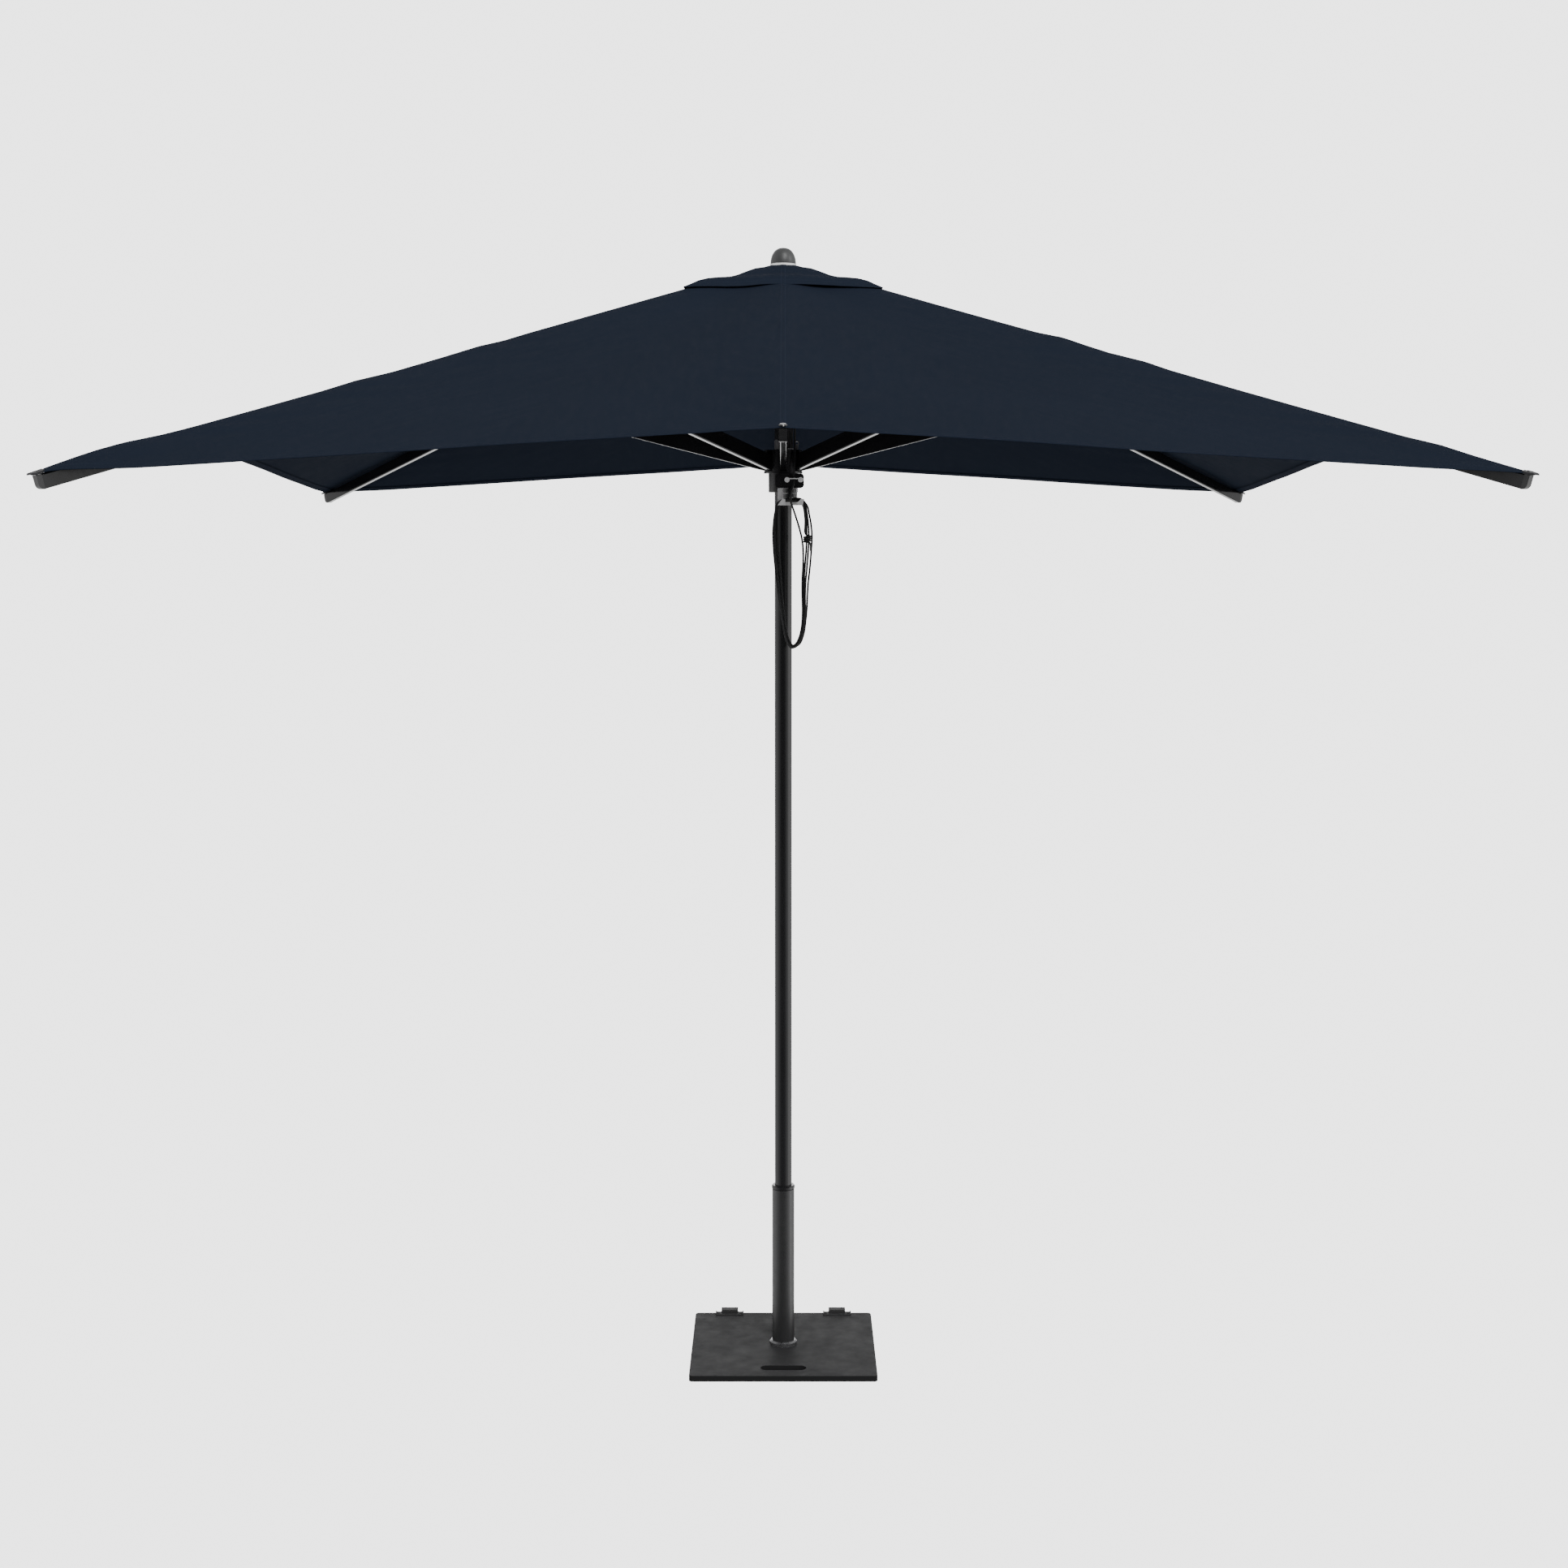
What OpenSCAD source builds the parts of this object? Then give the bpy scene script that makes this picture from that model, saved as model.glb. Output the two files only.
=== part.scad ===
// Square patio umbrella on a plate base, with a hoisted runner and eight folding ribs.
// Z is up, the front is -Y, and the origin is the middle of the plate's underside.

/* [Canopy] */
// Width across the rib tips of the square canopy
canopy_w = 3000; // [2400:10:4000]
// Height of the canopy's peak line at the pole
peak_z = 2936; // [2500:1:3200]
// Height of a corner rib tip
corner_z = 2355; // [2000:1:2700]
// Height of the rim halfway along a side
middle_z = 2448; // [2000:1:2800]
// Half width of the air opening under the vent cap
opening_half = 120; // [60:1:200]
// Half width of the vent cap
vent_half = 250; // [150:1:400]
// Thickness of the cloth
cloth_t = 1.5; // [1:0.5:6]

/* [Frame] */
// Width of a rib tube
rib_w = 17; // [12:0.5:30]
// Depth of a rib tube
rib_h = 31; // [20:0.5:60]
// Depth of a strut tube
strut_h = 40; // [20:0.5:60]
// Wall of the rib and strut tubes
tube_wall = 1.5; // [1:0.1:3]
// Distance of all hub pivots from the pole's axis
pivot_r = 45; // [40:0.5:70]
// Distance of the strut pivots on the ribs from the pole's axis
bracket_r = 810; // [600:1:1000]
// How far a strut pivot hangs below its rib's centre line
bracket_drop = 44.5; // [30:0.5:60]
// Height of the runner's pivots
runner_z = 2414; // [2200:1:2600]

/* [Pole] */
// Outside diameter of the pole
pole_d = 46; // [38:0.5:60]
// Wall of the pole
pole_wall = 2; // [1.5:0.1:3]
// Height of the pole's top end
pole_top = 2860; // [2400:1:3100]

/* [Base] */
// Side of the square plate
plate_w = 500; // [400:5:700]
// Thickness of the plate
plate_t = 16; // [8:0.5:40]
// Corner radius of the plate
plate_r = 10; // [2:0.5:40]
// Chamfer round the top edge of the plate
plate_edge = 1.5; // [0.2:0.1:5]
// Length of the hand slot
slot_l = 122; // [90:1:160]
// Width of the hand slot
slot_w = 36; // [25:1:50]
// Distance of the hand slot's middle from the pole's axis
slot_y = 190; // [120:1:230]
// Outside diameter of the sleeve
sleeve_d = 60.3; // [50:0.1:76]
// Height of the sleeve's top, with the bush's collar
sleeve_top = 464; // [300:1:600]
// Distance of each roller bracket from the middle of the plate
roller_x = 153; // [80:1:200]

/* [Rope] */
// Diameter of the hoisting rope
rope_d = 5; // [3:0.1:8]
// Thickness of the hanging coil of rope
coil_d = 16; // [10:0.5:30]
// Height of the hanging coil's lowest bend
coil_bottom = 1936; // [1700:1:2200]

/* [Hidden] */
e = 0.05;
half = canopy_w / 2;
corner_reach = half * sqrt(2);
corner_tilt = atan((peak_z - corner_z) / corner_reach);
middle_tilt = atan((peak_z - middle_z) / half);
rib_drop = cloth_t + 1.5 + rib_h / 2;
function line_z(tilt, r) = peak_z - rib_drop / cos(tilt) - r * tan(tilt);
crown_z = 2 * (line_z(corner_tilt, bracket_r) - bracket_drop / cos(corner_tilt)) - runner_z;
pin_r = 3;
trunnion_r = 4;
running = 0.08;
sheave_x = 23.25;
sheave_y = -52;
sheave_z = 2845;
sheave_r = 7.1;
cleat_z = 2370;
cam_left_x = 10;
cam_right_x = 45.6;
cam_mid_x = (cam_left_x + cam_right_x) / 2;
spool_x = 17.3;
spool_y = -62;
roller_y = plate_w / 2 + 12;
roller_z = 12;
DIRECTIONS = ["right", "back_right", "back", "back_left", "left", "front_left", "front",
    "front_right"];
$fn = 48;

// ---------------------------------------------------------------- shared shapes

// A rectangle with round corners, centred.
module round_rect(w, h, r) {
    if (r > 0)
        offset(r) square([w - 2 * r, h - 2 * r], center = true);
    else
        square([w, h], center = true);
}

// A hollow rectangular tube along +X from x0 to x1.
module box_tube(w, h, x0, x1) {
    translate([x0, 0, 0])
        rotate([90, 0, 90])
            linear_extrude(x1 - x0)
                difference() {
                    round_rect(w, h, 3);
                    square([w - 2 * tube_wall, h - 2 * tube_wall], center = true);
                }
}

// A plate that stands in the XZ plane, its outline in (x, z), from y0 to y1.
module upright(y0, y1) {
    translate([0, y1, 0])
        rotate([90, 0, 0])
            linear_extrude(y1 - y0)
                children();
}

// A rod along Y.
module rod_y(r, y0, y1, x = 0, z = 0) {
    translate([x, y1, z])
        rotate([90, 0, 0])
            cylinder(r = r, h = y1 - y0);
}

// A rod along X.
module rod_x(r, x0, x1, y = 0, z = 0) {
    translate([x0, y, z])
        rotate([0, 90, 0])
            cylinder(r = r, h = x1 - x0);
}

// Round tube along a route of points, closed into a ring if loop is true.
function unit(v) = v / norm(v);
function route_dir(p, i, loop) =
    let (n = len(p))
    loop ? unit(p[(i + 1) % n] - p[(i + n - 1) % n])
    : unit(p[min(i + 1, n - 1)] - p[max(i - 1, 0)]);
function ring_points(p, i, r, sides, loop, side) =
    let (t = route_dir(p, i, loop), u = unit(cross(side, t)), v = cross(t, u))
    [for (k = [0 : sides - 1]) p[i] + r * (cos(360 * k / sides) * u + sin(360 * k / sides) * v)];
// How far the coil's strands stand apart at a height: 0 at the hook and the bottom, 1 between.
function slack_at(z) = max(0, min(1, (2296 - z) / 60, (z - coil_bottom) / 90));
module rope(p, r, sides = 8, loop = false, side = [0, 1, 0], spread = 0) {
    n = len(p);
    points = [for (i = [0 : n - 1])
        each ring_points(p, i, r + spread * slack_at(p[i][2]), sides, loop, side)];
    walls = [for (i = [0 : n - (loop ? 1 : 2)]) for (k = [0 : sides - 1])
        let (j = (i + 1) % n, m = (k + 1) % sides)
        [i * sides + k, i * sides + m, j * sides + m, j * sides + k]];
    first = [for (k = [0 : sides - 1]) sides - 1 - k];
    last = [for (k = [0 : sides - 1]) (n - 1) * sides + k];
    polyhedron(points, loop ? walls : concat(walls, [first, last]));
}

// A smooth route through hand-placed points.
function blend4(a, b, c, d, t) =
    0.5 * (2 * b + (c - a) * t + (2 * a - 5 * b + 4 * c - d) * t * t
    + (3 * b - a - 3 * c + d) * t * t * t);
function smooth_route(p, steps) =
    let (n = len(p))
    [for (i = [0 : n - 2]) for (s = [0 : steps - 1])
        blend4(p[max(i - 1, 0)], p[i], p[i + 1], p[min(i + 2, n - 1)], s / steps), p[n - 1]];
function smooth_ring(p, steps) =
    let (n = len(p))
    [for (i = [0 : n - 1]) for (s = [0 : steps - 1])
        blend4(p[(i + n - 1) % n], p[i], p[(i + 1) % n], p[(i + 2) % n], s / steps)];

// ---------------------------------------------------------------- base

module plate_bar() {
    rotate([90, 0, 0])
        translate([0, 0, plate_r - plate_w / 2])
            linear_extrude(plate_w - 2 * plate_r)
                polygon([[-plate_w / 2, 0], [plate_w / 2, 0], [plate_w / 2, plate_t - plate_edge],
                    [plate_w / 2 - plate_edge, plate_t], [plate_edge - plate_w / 2, plate_t],
                    [-plate_w / 2, plate_t - plate_edge]]);
}

module plate_corner() {
    cylinder(r = plate_r, h = plate_t - plate_edge);
    translate([0, 0, plate_t - plate_edge])
        cylinder(r1 = plate_r, r2 = plate_r - plate_edge, h = plate_edge);
}

module base_plate() {
    color([0.20, 0.20, 0.21])
        difference() {
            union() {
                plate_bar();
                rotate([0, 0, 90])
                    plate_bar();
                for (x = [-1, 1])
                    for (y = [-1, 1])
                        translate([x * (plate_w / 2 - plate_r), y * (plate_w / 2 - plate_r), 0])
                            plate_corner();
            }
            translate([0, -slot_y, -1])
                linear_extrude(plate_t + 2)
                    square([slot_l - slot_w, slot_w], center = true);
            for (end = [-1, 1])
                translate([end * (slot_l - slot_w) / 2, -slot_y, -1])
                    cylinder(r = slot_w / 2, h = plate_t + 2);
            for (side = [-1, 1])
                for (ear = [-1, 1])
                    translate([side * roller_x + ear * 32, plate_w / 2 - 13, 6])
                        cylinder(r = 2.55, h = plate_t);
        }
}

module base_sleeve() {
    color([0.10, 0.10, 0.11])
        translate([0, 0, plate_t])
            linear_extrude(sleeve_top - 11 - plate_t)
                difference() {
                    circle(d = sleeve_d, $fn = 96);
                    circle(d = sleeve_d - 6, $fn = 96);
                }
}

module sleeve_foot_ring() {
    color([0.45, 0.45, 0.46])
        translate([0, 0, plate_t])
            rotate_extrude($fn = 96)
                polygon([[sleeve_d / 2 + e, 0], [37, 0], [37, 8], [33, 12], [sleeve_d / 2 + e, 12]]);
}

module sleeve_bush() {
    inner = pole_d / 2 + running;
    outer = sleeve_d / 2 - 3 - e;
    collar = sleeve_top - 11;
    color([0.06, 0.06, 0.06])
        rotate_extrude($fn = 96) {
            polygon([[inner, collar - 90], [outer, collar - 90], [outer, collar], [31.5 - 2.5, collar],
                [31.5, collar + 2.5], [31.5, collar + 8.5], [31.5 - 2.5, sleeve_top],
                [inner, sleeve_top]]);
            translate([inner, plate_t + 3])
                square([outer - inner, 60]);
        }
}

module bracket() {
    difference() {
        union() {
            translate([-39.5, plate_w / 2 - 25, plate_t])
                cube([79, 25, 3]);
            for (x = [-23.5, 20.5])
                upright_x(x, x + 3)
                    union() {
                        translate([plate_w / 2 - 8, plate_t])
                            square([8.2, 10]);
                        translate([plate_w / 2 - 0, roller_z - 7])
                            square([12, 21]);
                        translate([roller_y, roller_z])
                            circle(r = 7);
                    }
            translate([-23.5, plate_w / 2 - 8, 23.2])
                cube([47, 24, 2.8]);
            translate([-23.5, plate_w / 2 - 8, plate_t])
                cube([47, 3, 10]);
            for (ear = [-1, 1])
                translate([ear * 38 - 1.5, plate_w / 2 - 25, plate_t + 3 - e])
                    cube([3, 25, 2.5]);
        }
        rod_x(3 + running, -30, 30, roller_y, roller_z);
        for (ear = [-1, 1])
            translate([ear * 32, plate_w / 2 - 13, plate_t - 1])
                cylinder(r = 2.55, h = 10);
    }
}

// A plate that stands in the YZ plane, its outline in (y, z), from x0 to x1.
module upright_x(x0, x1) {
    translate([x0, 0, 0])
        rotate([90, 0, 90])
            linear_extrude(x1 - x0)
                children();
}

module wheel_brackets() {
    color([0.09, 0.09, 0.10])
        for (side = [-1, 1])
            translate([side * roller_x, 0, 0])
                bracket();
}

module bracket_hardware() {
    color([0.70, 0.70, 0.72])
        for (side = [-1, 1]) {
            rod_x(3, side * roller_x - 25, side * roller_x + 25, roller_y, roller_z);
            for (ear = [-1, 1])
                translate([side * roller_x + ear * 32, plate_w / 2 - 13, 0]) {
                    translate([0, 0, plate_t + 3])
                        cylinder(r1 = 4.5, r2 = 3, h = 2.2);
                    translate([0, 0, 7])
                        cylinder(r = 2.5, h = plate_t - 4);
                }
        }
}

module roller(side) {
    color([0.05, 0.05, 0.05])
        difference() {
            rod_x(10, side * roller_x - 20, side * roller_x + 20, roller_y, roller_z);
            rod_x(3 + running, side * roller_x - 21, side * roller_x + 21, roller_y, roller_z);
        }
}

// ---------------------------------------------------------------- pole and crown

module pole() {
    color([0.09, 0.09, 0.10])
        translate([0, 0, plate_t + 1])
            linear_extrude(pole_top - plate_t - 1)
                difference() {
                    circle(d = pole_d, $fn = 96);
                    circle(d = pole_d - 2 * pole_wall, $fn = 96);
                }
}

module crown_slots() {
    for (i = [0 : 7])
        rotate([0, 0, 45 * i])
            translate([33, -6.3, crown_z - 20])
                cube([40, 12.6, 33]);
}

module crown_hub() {
    color([0.06, 0.06, 0.06]) {
        difference() {
            union() {
                translate([0, 0, pole_top - 60])
                    cylinder(r = pole_d / 2 - pole_wall - e, h = 60);
                translate([0, 0, pole_top])
                    cylinder(r = 33, h = 60);
                difference() {
                    translate([0, 0, crown_z - 15])
                        cylinder(r = 55, h = 32);
                    crown_slots();
                }
                translate([0, 0, crown_z + 12.5])
                    cylinder(r = 55, h = 21.5);
                translate([0, 0, crown_z + 34])
                    cylinder(r1 = 55, r2 = 51, h = 3);
            }
            translate([0, 0, pole_top + 40])
                cylinder(r = 5 + e, h = 30);
            for (i = [0 : 7])
                rotate([0, 0, 45 * i])
                    rod_y(pin_r + e, -12.2, 12.2, pivot_r, crown_z);
        }
        crown_block();
    }
}

// The cheeks below the crown that hold the rope's sheave.
module crown_block() {
    difference() {
        union() {
            translate([0, 0, crown_z - 19])
                linear_extrude(4)
                    polygon([[12, -42], [25, -42], [33, -50], [33, -64], [12, -64]]);
            for (y = [sheave_y - 5.3, sheave_y + 3.3])
                upright(y, y + 2)
                    polygon([[15, crown_z - 18], [31.5, crown_z - 18], [31.5, sheave_z - 2],
                        [27, sheave_z - 6], [19.5, sheave_z - 6], [15, sheave_z - 2]]);
        }
        rod_y(1.5 + e, -70, -40, sheave_x, sheave_z);
    }
}

module crown_pins() {
    color([0.75, 0.75, 0.77]) {
        for (i = [0 : 7])
            rotate([0, 0, 45 * i])
                rod_y(pin_r, -12, 12, pivot_r, crown_z);
        rod_y(1.5, sheave_y - 5.3, sheave_y + 5.3, sheave_x, sheave_z);
    }
}

module crown_sheave() {
    color([0.55, 0.55, 0.56])
        translate([sheave_x, sheave_y, sheave_z])
            rotate([90, 0, 0])
                rotate_extrude()
                    polygon([[1.5 + running, -3.2], [9.5, -3.2], [9.5, -2.8], [4.5, -2.6], [4.5, 2.6],
                        [9.5, 2.8], [9.5, 3.2], [1.5 + running, 3.2]]);
}

module finial() {
    top = crown_z + 37;
    color([0.07, 0.07, 0.07]) {
        translate([0, 0, top + 10.1])
            rotate_extrude($fn = 96)
                polygon(concat([[0, 0]], [for (a = [0 : 6 : 90]) [33.5 * pow(cos(a), 0.8), 41.5 * sin(a)]]));
        translate([0, 0, top - 18])
            cylinder(r = 5, h = 28.2);
    }
}

module finial_ring() {
    color([0.75, 0.75, 0.77])
        translate([0, 0, crown_z + 37 + 2])
            rotate_extrude($fn = 96)
                polygon([[5 + e, 0], [33.5, 0], [34.5, 1.5], [34.5, 6], [33, 8], [5 + e, 8]]);
}

module top_patch() {
    color([0.09, 0.12, 0.17])
        translate([0, 0, crown_z + 37 + 0.1])
            difference() {
                cylinder(r = 46, h = 1.6);
                translate([0, 0, -1])
                    cylinder(r = 5 + e, h = 4);
            }
}

module rope_falls() {
    right = sheave_x + sheave_r;
    left = sheave_x - sheave_r;
    over = [for (a = [0 : 15 : 180])
        [sheave_x + sheave_r * cos(a), sheave_y, sheave_z + sheave_r * sin(a)]];
    color([0.05, 0.05, 0.05]) {
        rope(concat([[right, sheave_y, runner_z + 42]], [for (z = [2500 : 100 : 2800])
            [right, sheave_y, z]], over, [for (z = [2800 : -100 : 2500])
            [left, sheave_y, z]], [[left, sheave_y, runner_z + 38.4]]), rope_d / 2);
        rope([for (z = [runner_z + 38.4, 2500, 2600, 2700, 2800, crown_z - 19.2])
            [sheave_x, -60.2, z]], rope_d / 2);
    }
}

// ---------------------------------------------------------------- runner

module runner_hub() {
    bottom = runner_z - 26;
    color([0.05, 0.05, 0.05])
        difference() {
            union() {
                translate([0, 0, bottom])
                    cylinder(r = 51, h = 5);
                difference() {
                    translate([0, 0, bottom + 4.9])
                        cylinder(r = 50, h = 56.1);
                    translate([0, 0, bottom + 5])
                        cylinder(r = 27, h = 60);
                    for (i = [0 : 7])
                        rotate([0, 0, 45 * i])
                            translate([0, -8.8, bottom + 5])
                                cube([60, 17.6, 60]);
                }
            }
            translate([0, 0, bottom - 1])
                cylinder(d = pole_d + 0.8, h = 80, $fn = 96);
            for (i = [0 : 7])
                rotate([0, 0, 45 * i])
                    rod_y(pin_r + e, -14.2, 14.2, pivot_r, runner_z);
        }
}

module runner_sleeve() {
    color([0.07, 0.07, 0.07])
        translate([0, 0, runner_z - 76])
            rotate_extrude($fn = 96)
                polygon([[pole_d / 2 + 0.4, 0], [37.5, 0], [39, 1.5], [39, 50 - e], [pole_d / 2 + 0.4, 50 - e]]);
}

module runner_pins() {
    color([0.75, 0.75, 0.77])
        for (i = [0 : 7])
            rotate([0, 0, 45 * i])
                rod_y(pin_r, -14, 14, pivot_r, runner_z);
}

module runner_lugs() {
    top = runner_z + 35;
    color([0.62, 0.62, 0.64]) {
        upright(-44, -40)
            union() {
                translate([-23, top])
                    square([12, 20]);
                translate([-17, top + 20])
                    circle(r = 6);
            }
        rod_y(3.2, -46, -43.9, -17, top + 17);
        upright(-16.4, -13)
            difference() {
                union() {
                    translate([31.5, top])
                        square([8, 16]);
                    translate([35.5, top + 18])
                        circle(r = 6.5);
                }
                translate([35.5, top + 18])
                    circle(r = 3);
            }
        translate([12, -63, top])
            cube([15, 20, 3]);
    }
}

module cleat_body() {
    color([0.06, 0.06, 0.06])
        difference() {
            upright(-58, -22)
                translate([16.5, cleat_z - 2])
                    round_rect(75, 38, 9);
            cylinder(r = 39 + e, h = 3000, $fn = 96);
            for (x = [cam_left_x, cam_right_x])
                rod_y(pin_r + e, -70, -48, x, cleat_z);
        }
}

// A cam that turns on its own pin, its lobe towards the rope.
module cam(x, turn) {
    color([0.08, 0.08, 0.08])
        translate([x, 0, cleat_z])
            rotate([0, turn, 0])
                difference() {
                    upright(-69.8, -58.2)
                        hull() {
                            circle(r = 7.5);
                            translate([10.9, 0])
                                circle(r = 4);
                        }
                    rod_y(pin_r + running, -80, -50);
                }
}

module cleat_trim() {
    color([0.85, 0.85, 0.86])
        union() {
            for (x = [cam_left_x, cam_right_x]) {
                rod_y(pin_r, -71, -49, x, cleat_z);
                rod_y(6.8, -74, -70, x, cleat_z);
            }
            rod_x(1.6, cam_left_x, cam_right_x, -72, cleat_z + 3.5);
        }
}

module rope_spool() {
    color([0.07, 0.07, 0.07])
        translate([spool_x, spool_y, cleat_z - 21])
            rotate_extrude($fn = 64)
                polygon([[0, 0], [8, 0], [8, -2], [18, -2.6], [18, -11.8], [8, -12.5], [8, -15],
                    [18, -15.6], [18, -24.6], [16, -25.6], [0, -25.6]]);
}

module hook_plate() {
    shelf = cleat_z - 66;
    color([0.80, 0.80, 0.82]) {
        translate([-15, -42.5, shelf])
            cube([52, 2, cleat_z - 21 - shelf - e]);
        for (x = [1, 32])
            translate([x, -72, shelf])
                cube([5, 30, 2.5]);
        upright(-72, -70)
            polygon([[-15, shelf], [6, shelf], [5, shelf + 16.5], [-3, shelf + 16.5]]);
        upright(-72, -70)
            polygon([[30, shelf], [51, shelf], [55, shelf + 16.5], [46, shelf + 16.5]]);
    }
}

module rope_coil() {
    y = -58;
    outline = [[20, y, 2314.9], [36, y, 2314.9], [47, y, 2313.3], [56, y, 2302], [61, y, 2276],
        [64, y, 2240], [64, y, 2205], [60, y, 2150], [55, y, 2092], [51, y, 2019],
        [42, y, 1962], [27, y, coil_bottom], [13, y, 1950], [4, y, 1990], [-5, y, 2060],
        [-12, y, 2139], [-17, y, 2198], [-18, y, 2247], [-16, y, 2282], [-10.5, y, 2306.5],
        [-3, y, 2314.5], [8, y, 2314.9]];
    color([0.05, 0.05, 0.05])
        rope(smooth_ring(outline, 3), coil_d / 2, 12, true, spread = 3);
}

module rope_lead() {
    route = [[30.35, -52, 2455.8], [30.2, -53, 2440], [29.5, -56, 2420], [28.5, -61, 2400],
        [27.8, -64.5, 2385], [27.8, -65, 2370], [27, -68, 2358], [24, -78.5, 2350],
        [21, -84.5, 2342], [20, -84.5, 2330], [20, -80.5, 2319], [21, -78, 2309],
        [30, -78, 2283], [38, -78, 2258], [47, -76, 2230], [54, -74, 2205],
        [57, -72.5, 2190]];
    color([0.05, 0.05, 0.05])
        rope(smooth_route(route, 3), rope_d / 2);
}

// ---------------------------------------------------------------- ribs, struts and cloth

// Places a part along a rib: x runs out along the rib's centre line, z is square to it.
module along_rib(azimuth, tilt) {
    rotate([0, 0, azimuth])
        translate([pivot_r, 0, line_z(tilt, pivot_r)])
            rotate([0, tilt, 0])
                children();
}

function is_corner(i) = i % 2 == 1;
function tilt_of(i) = is_corner(i) ? corner_tilt : middle_tilt;
function reach_of(i) = is_corner(i) ? corner_reach : half;
function rib_end(i) = (reach_of(i) - pivot_r - rib_h / 2 * sin(tilt_of(i))) / cos(tilt_of(i));
function crown_drop(i) = line_z(tilt_of(i), pivot_r) - crown_z;
function bracket_x(i) =
    (bracket_r - pivot_r + bracket_drop * sin(tilt_of(i))) / cos(tilt_of(i));

module rib(i) {
    color([0.10, 0.10, 0.11])
        along_rib(45 * i, tilt_of(i))
            box_tube(rib_w, rib_h, 30, rib_end(i) - 12);
}

module fittings(i) {
    tilt = tilt_of(i);
    pivot = [crown_drop(i) * sin(tilt), -crown_drop(i) * cos(tilt)];
    plug_w = rib_w - 2 * tube_wall - 0.2;
    plug_h = rib_h - 2 * tube_wall - 0.2;
    end = rib_end(i);
    color([0.12, 0.12, 0.13])
        along_rib(45 * i, tilt) {
            // The tongue that turns on the crown's pin, with its plug in the tube.
            difference() {
                union() {
                    upright(-6, 6)
                        union() {
                            translate(pivot)
                                circle(r = 9);
                            polygon([[pivot[0], pivot[1] - 9], [pivot[0], pivot[1] + 9], [29, 2],
                                [34, 2], [34, -13.5], [29, -13.5]]);
                        }
                    translate([30.5, -plug_w / 2, -plug_h / 2])
                        cube([40, plug_w, plug_h]);
                }
                rod_y(pin_r + running, -10, 10, pivot[0], pivot[1]);
            }
            strut_bracket(i);
            tip_cap(end, plug_w, plug_h);
        }
}

// Two cheeks on the rib's sides, with a round seat on a corner rib and a slot on a middle one.
module strut_bracket(i) {
    x = bracket_x(i);
    for (side = [-1, 1])
        difference() {
            union() {
                upright(side > 0 ? 8.8 : -11.8, side > 0 ? 11.8 : -8.8)
                    polygon([[x - 34, 6], [x + 40, 6], [x + 40, -16], [x + 36, -bracket_drop - 6],
                        [x + 30, -bracket_drop - 11], [x - 6, -bracket_drop - 11],
                        [x - 12, -bracket_drop - 5], [x - 34, -16]]);
                upright(side > 0 ? rib_w / 2 : -8.9, side > 0 ? 8.9 : -rib_w / 2)
                    polygon([[x - 34, 6], [x + 40, 6], [x + 40, -15], [x - 34, -15]]);
            }
            if (is_corner(i))
                rod_y(trunnion_r + running, -20, 20, x, -bracket_drop);
            else
                upright(-20, 20)
                    translate([x, -bracket_drop])
                        seat_slot();
        }
}

// The slot covers the small arc that a middle strut's pin makes while the frame folds.
module seat_slot() {
    hull()
        for (p = [[0, 0], [8, -1], [22, 3.5], [15, 6.6]])
            translate(p)
                circle(r = 6);
}

module tip_cap(end, plug_w, plug_h) {
    translate([end - 40, -plug_w / 2, -plug_h / 2])
        cube([30, plug_w, plug_h]);
    upright(-rib_w / 2, rib_w / 2)
        union() {
            translate([end - 12 + e, -rib_h / 2 + 12])
                square([12 - e, rib_h - 12]);
            intersection() {
                translate([end - 12, -rib_h / 2 + 12])
                    circle(r = 12);
                translate([end - 12 + e, -rib_h / 2])
                    square([14, 14]);
            }
        }
    translate([end - 6, 0, rib_h / 2 - 1])
        cylinder(r = 2.6, h = 7);
    translate([end - 6, 0, rib_h / 2 + 5.6])
        cylinder(r1 = 8.5, r2 = 6.5, h = 2.6);
}

module strut(i) {
    tilt = tilt_of(i);
    seat_z = line_z(tilt, bracket_r) - bracket_drop / cos(tilt);
    run = bracket_r - pivot_r;
    length = norm([run, seat_z - runner_z]);
    slope = atan((seat_z - runner_z) / run);
    color([0.10, 0.10, 0.11])
        rotate([0, 0, 45 * i])
            translate([pivot_r, 0, runner_z])
                rotate([0, -slope, 0])
                    difference() {
                        union() {
                            intersection() {
                                box_tube(rib_w, strut_h, -strut_h, length + strut_h);
                                upright(-rib_w, rib_w)
                                    strut_outline(length);
                            }
                            rod_y(trunnion_r, -13, 13, length);
                        }
                        rod_y(pin_r + running, -20, 20);
                    }
}

// The side view of a strut: round at the runner, slimmer and round at the rib.
module strut_outline(length) {
    circle(r = strut_h / 2);
    translate([0, -strut_h / 2])
        square([length - 60, strut_h]);
    polygon([[length - 60, -strut_h / 2], [length, -14], [length, 14], [length - 60, strut_h / 2]]);
    translate([length, 0])
        circle(r = 14);
}

// Height of the cloth's upper face at an azimuth and a distance from the pole's axis.
function off_axis(a) = abs(((a + 405) % 90) - 45);
function rim_r(a) = half / cos(off_axis(a));
function rim_z(a) = middle_z - (middle_z - corner_z) * tan(off_axis(a));
function cloth_z(a, r) = peak_z - (peak_z - rim_z(a)) * r / rim_r(a);
function cloth_point(a, share, lift) =
    [share * rim_r(a) * cos(a), share * rim_r(a) * sin(a), cloth_z(a, share * rim_r(a)) + lift];

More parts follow.
